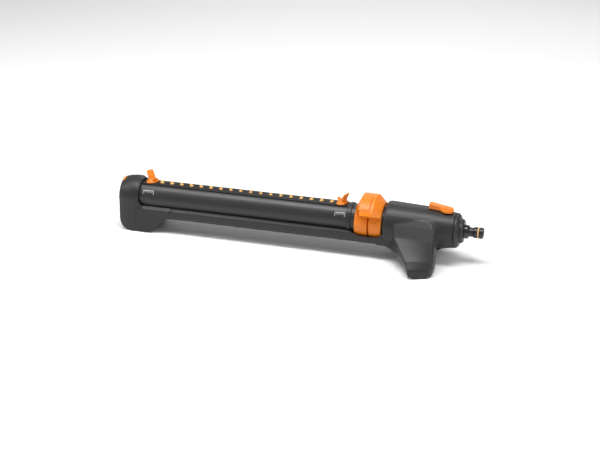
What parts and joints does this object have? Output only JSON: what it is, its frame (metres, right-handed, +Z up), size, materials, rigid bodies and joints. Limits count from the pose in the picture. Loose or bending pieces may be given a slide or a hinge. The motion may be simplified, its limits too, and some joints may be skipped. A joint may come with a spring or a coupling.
{
  "type": "oscillating sprinkler",
  "caption": "Oscillating lawn sprinkler: a swinging spray tube in a long base with splayed legs, range rings, width levers, a flow lever and a hose nipple.",
  "frame": {"origin": "on the ground, below the middle of the object", "axes": "+X along the spray tube towards the hose nipple, +Z up, -Y the front"},
  "size_m": [0.543, 0.1564, 0.0876],
  "materials": {
    "frame_plastic": "charcoal moulded plastic, fine texture",
    "tube_plastic": "charcoal extruded tube, satin",
    "inner_plastic": "black moulded plastic",
    "orange_plastic": "orange moulded plastic, light sheen",
    "strip_plastic": "near-black strip",
    "nozzle_rubber": "pale orange soft nozzles",
    "seal_rubber": "black rubber",
    "o_ring_rubber": "light brown rubber ring",
    "nipple_plastic": "black moulded plastic",
    "filter_plastic": "off-white mesh",
    "bearing_plastic": "white low-friction plastic",
    "gear_plastic": "natural acetal",
    "steel": "stainless steel"
  },
  "bodies": {
    "base": {"base_frame": "frame_plastic", "collar_seal": "seal_rubber", "drive_bush": "bearing_plastic", "end_post": "frame_plastic", "foot_cover_front": "inner_plastic", "foot_cover_rear": "inner_plastic", "gearbox_case": "gear_plastic", "gearbox_cover": "gear_plastic", "gearbox_screws": "steel", "hose_nipple": "nipple_plastic", "inlet_collar": "frame_plastic", "inlet_filter": "filter_plastic", "jet_plate": "gear_plastic", "lay_shaft": "steel", "main_shaft": "steel", "nipple_o_ring": "o_ring_rubber", "post_base_cover": "inner_plastic", "post_bush": "bearing_plastic", "post_cover_bosses": "inner_plastic", "post_cover_screws": "steel", "reversing_pivot": "gear_plastic", "tongue_screws": "steel", "trip_spring": "steel", "tube_lip_seal": "seal_rubber", "valve_body": "gear_plastic"},
    "tube": {"spray_tube": "tube_plastic", "nozzle_strip": "strip_plastic", "nozzles": "nozzle_rubber", "tube_clamp_ring": "frame_plastic", "tube_end_cap": "tube_plastic", "drive_coupling": "inner_plastic", "output_gear": "gear_plastic"},
    "ring_left": {"range_ring_left": "orange_plastic"},
    "ring_right": {"range_ring_right": "orange_plastic"},
    "width_left": {"width_lever_left": "orange_plastic", "lever_seal_left": "seal_rubber", "lever_pinion_left": "gear_plastic"},
    "width_right": {"width_lever_right": "orange_plastic", "lever_seal_right": "seal_rubber", "lever_pinion_right": "gear_plastic"},
    "shutter_left": {"shutter_left": "gear_plastic"},
    "shutter_right": {"shutter_right": "gear_plastic"},
    "flow_valve": {"flow_lever": "orange_plastic", "valve_plug": "gear_plastic", "spindle_seal": "seal_rubber", "lever_screw": "orange_plastic"},
    "reverser": {"trip_yoke": "inner_plastic", "trip_rod": "steel", "reversing_plate": "gear_plastic"},
    "turbine": {"turbine_wheel": "gear_plastic"},
    "gear_1": {"compound_gear_1": "gear_plastic"},
    "gear_2": {"compound_gear_2": "gear_plastic"},
    "gear_3": {"compound_gear_3": "gear_plastic"},
    "cleaning_tool": {"cleaning_grip": "orange_plastic", "cleaning_needle": "steel"}
  },
  "joints": [
    {"name": "tube_swing", "type": "hinge", "parent": "base", "child": "tube", "pos_m": [0, 0, 0.048], "axis": [1, 0, 0], "range_deg": [-50, 50]},
    {"name": "ring_left_turn", "type": "hinge", "parent": "tube", "child": "ring_left", "pos_m": [0, 0, 0.048], "axis": [-1, 0, 0], "range_deg": [0, 40]},
    {"name": "ring_right_turn", "type": "hinge", "parent": "tube", "child": "ring_right", "pos_m": [0, 0, 0.048], "axis": [-1, 0, 0], "range_deg": [-40, 0]},
    {"name": "width_left_turn", "type": "hinge", "parent": "tube", "child": "width_left", "pos_m": [-0.2261, 0, 0.0705], "axis": [0, 0, 1], "range_deg": [0, 60]},
    {"name": "width_right_turn", "type": "hinge", "parent": "tube", "child": "width_right", "pos_m": [0.0665, 0, 0.0705], "axis": [0, 0, -1], "range_deg": [0, 60]},
    {"name": "shutter_left_slide", "type": "slide", "parent": "tube", "child": "shutter_left", "axis": [1, 0, 0], "range_m": [-0.00366, 0]},
    {"name": "shutter_right_slide", "type": "slide", "parent": "tube", "child": "shutter_right", "axis": [1, 0, 0], "range_m": [0, 0.00366]},
    {"name": "flow_lever_turn", "type": "hinge", "parent": "base", "child": "flow_valve", "pos_m": [0.215, 0, 0.048], "axis": [0.1045, 0, 0.9945], "range_deg": [0, 90]},
    {"name": "reverser_flip", "type": "hinge", "parent": "base", "child": "reverser", "pos_m": [0, 0, 0.048], "axis": [1, 0, 0], "range_deg": [0, 16]},
    {"name": "turbine_spin", "type": "hinge", "parent": "base", "child": "turbine", "pos_m": [0, 0, 0.048], "axis": [1, 0, 0], "continuous": true},
    {"name": "gear_1_spin", "type": "hinge", "parent": "base", "child": "gear_1", "pos_m": [0, 0, 0.0375], "axis": [1, 0, 0], "continuous": true},
    {"name": "gear_2_spin", "type": "hinge", "parent": "base", "child": "gear_2", "pos_m": [0, 0, 0.048], "axis": [1, 0, 0], "continuous": true},
    {"name": "gear_3_spin", "type": "hinge", "parent": "base", "child": "gear_3", "pos_m": [0, 0, 0.0375], "axis": [1, 0, 0], "continuous": true},
    {"name": "cleaning_tool_pull", "type": "slide", "parent": "base", "child": "cleaning_tool", "axis": [-1, 0, 0], "range_m": [0, 0.03]}
  ],
  "couplings": [
    {"joint": "gear_3_spin", "follows": "tube_swing", "ratio": -2.5},
    {"joint": "gear_2_spin", "follows": "tube_swing", "ratio": 6.25},
    {"joint": "gear_1_spin", "follows": "tube_swing", "ratio": -15.625},
    {"joint": "turbine_spin", "follows": "tube_swing", "ratio": 39.062},
    {"joint": "width_left_turn", "follows": "shutter_left_slide", "rad_per_m": -285.71},
    {"joint": "width_right_turn", "follows": "shutter_right_slide", "rad_per_m": 285.71}
  ]
}
